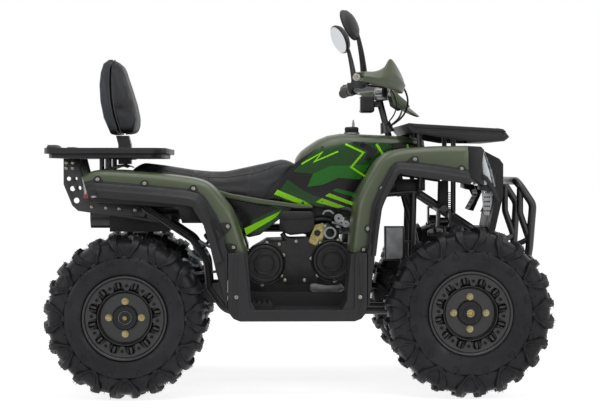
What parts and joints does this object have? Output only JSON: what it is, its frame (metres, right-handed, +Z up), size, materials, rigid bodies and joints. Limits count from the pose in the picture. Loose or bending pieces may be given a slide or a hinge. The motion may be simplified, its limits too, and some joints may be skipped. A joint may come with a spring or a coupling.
{
  "type": "quad bike",
  "caption": "Utility quad bike with a long seat, backrest, front and rear racks, bumper and knobbly tyres.",
  "frame": {"origin": "on the ground under the middle of the vehicle", "axes": "+X to the front, +Y to the rider's left, +Z up"},
  "size_m": [1.7455, 1.06, 1.3282],
  "materials": {
    "tyre_rubber": "moulded rubber",
    "hose_rubber": "extruded rubber",
    "wheel_black": "satin paint",
    "steel": "turned",
    "cast_steel": "cast",
    "black_metal": "powder coat",
    "spring_blue": "enamel",
    "engine_alloy": "cast",
    "black_plastic": "moulded",
    "olive_plastic": "moulded",
    "seat_cover": "vinyl",
    "lamp_lens": "clear lens",
    "silver_metal": "satin",
    "grip_rubber": "moulded",
    "red_lens": "clear lens"
  },
  "bodies": {
    "chassis": {"backrest_pad": "seat_cover", "backrest_post": "black_metal", "bumper": "black_metal", "chain": "steel", "engine": "engine_alloy", "engine_covers": "engine_alloy", "exhaust": "black_metal", "filler_cap": "silver_metal", "footwell_left": "black_plastic", "footwell_right": "black_plastic", "frame": "black_metal", "front_arms": "black_metal", "front_fender": "olive_plastic", "front_flares": "black_plastic", "front_rack": "black_plastic", "front_shocks": "spring_blue", "grilles": "silver_metal", "headlights": "lamp_lens", "intake": "black_plastic", "nose_panel": "black_plastic", "oil_cooler": "silver_metal", "rack_brackets": "black_metal", "rear_fender": "olive_plastic", "rear_flares": "black_plastic", "rear_rack": "black_plastic", "rear_shock": "spring_blue", "seat": "seat_cover", "side_panels": "black_plastic", "swing_arm": "black_metal", "tail_lights": "red_lens", "tank_cover": "olive_plastic", "tool_box": "black_plastic"},
    "steering": {"steering_column": "black_metal", "handlebar": "black_metal", "grips": "grip_rubber", "hand_guards": "olive_plastic", "mirrors": "black_plastic", "meter": "black_plastic", "front_shield": "olive_plastic", "brake_hose_right": "hose_rubber", "brake_hose_left": "hose_rubber", "throttle_cable": "hose_rubber"},
    "knuckle_right": {"knuckle_right": "cast_steel"},
    "knuckle_left": {"knuckle_left": "cast_steel"},
    "tie_rod_right": {"tie_rod_right": "steel"},
    "tie_rod_left": {"tie_rod_left": "steel"},
    "wheel_front_right": {"tyre_front_right": "tyre_rubber", "rim_front_right": "wheel_black", "hub_front_right": "steel"},
    "wheel_front_left": {"tyre_front_left": "tyre_rubber", "rim_front_left": "wheel_black", "hub_front_left": "steel"},
    "rear_wheels": {"rear_axle": "steel", "tyre_rear_right": "tyre_rubber", "rim_rear_right": "wheel_black", "tyre_rear_left": "tyre_rubber", "rim_rear_left": "wheel_black"}
  },
  "joints": [
    {"name": "steering_turn", "type": "hinge", "parent": "chassis", "child": "steering", "pos_m": [0.302, 0, 1.049], "axis": [-0.2504, 0, 0.9681], "range_deg": [-35, 35]},
    {"name": "knuckle_turn_right", "type": "hinge", "parent": "chassis", "child": "knuckle_right", "pos_m": [0.5825, -0.345, 0.292], "axis": [0, 0, 1], "range_deg": [-28, 28]},
    {"name": "knuckle_turn_left", "type": "hinge", "parent": "chassis", "child": "knuckle_left", "pos_m": [0.5825, 0.345, 0.292], "axis": [0, 0, 1], "range_deg": [-28, 28]},
    {"name": "tie_rod_turn_right", "type": "hinge", "parent": "steering", "child": "tie_rod_right", "pos_m": [0.43037, -0.012, 0.31298], "axis": [-0.2504, 0, 0.9681], "range_deg": [-38.5, 38.5]},
    {"name": "tie_rod_turn_left", "type": "hinge", "parent": "steering", "child": "tie_rod_left", "pos_m": [0.43037, 0.012, 0.31298], "axis": [-0.2504, 0, 0.9681], "range_deg": [-38.5, 38.5]},
    {"name": "front_wheel_spin_right", "type": "hinge", "parent": "knuckle_right", "child": "wheel_front_right", "pos_m": [0.5825, -0.42, 0.292], "axis": [0, 1, 0], "continuous": true},
    {"name": "front_wheel_spin_left", "type": "hinge", "parent": "knuckle_left", "child": "wheel_front_left", "pos_m": [0.5825, 0.42, 0.292], "axis": [0, 1, 0], "continuous": true},
    {"name": "rear_wheels_spin", "type": "hinge", "parent": "chassis", "child": "rear_wheels", "pos_m": [-0.5825, 0, 0.2795], "axis": [0, 1, 0], "continuous": true}
  ],
  "couplings": [
    {"joint": "knuckle_turn_right", "follows": "steering_turn", "ratio": 0.8},
    {"joint": "knuckle_turn_left", "follows": "steering_turn", "ratio": 0.8},
    {"joint": "tie_rod_turn_right", "follows": "steering_turn", "ratio": -1.1},
    {"joint": "tie_rod_turn_left", "follows": "steering_turn", "ratio": -1.1}
  ]
}
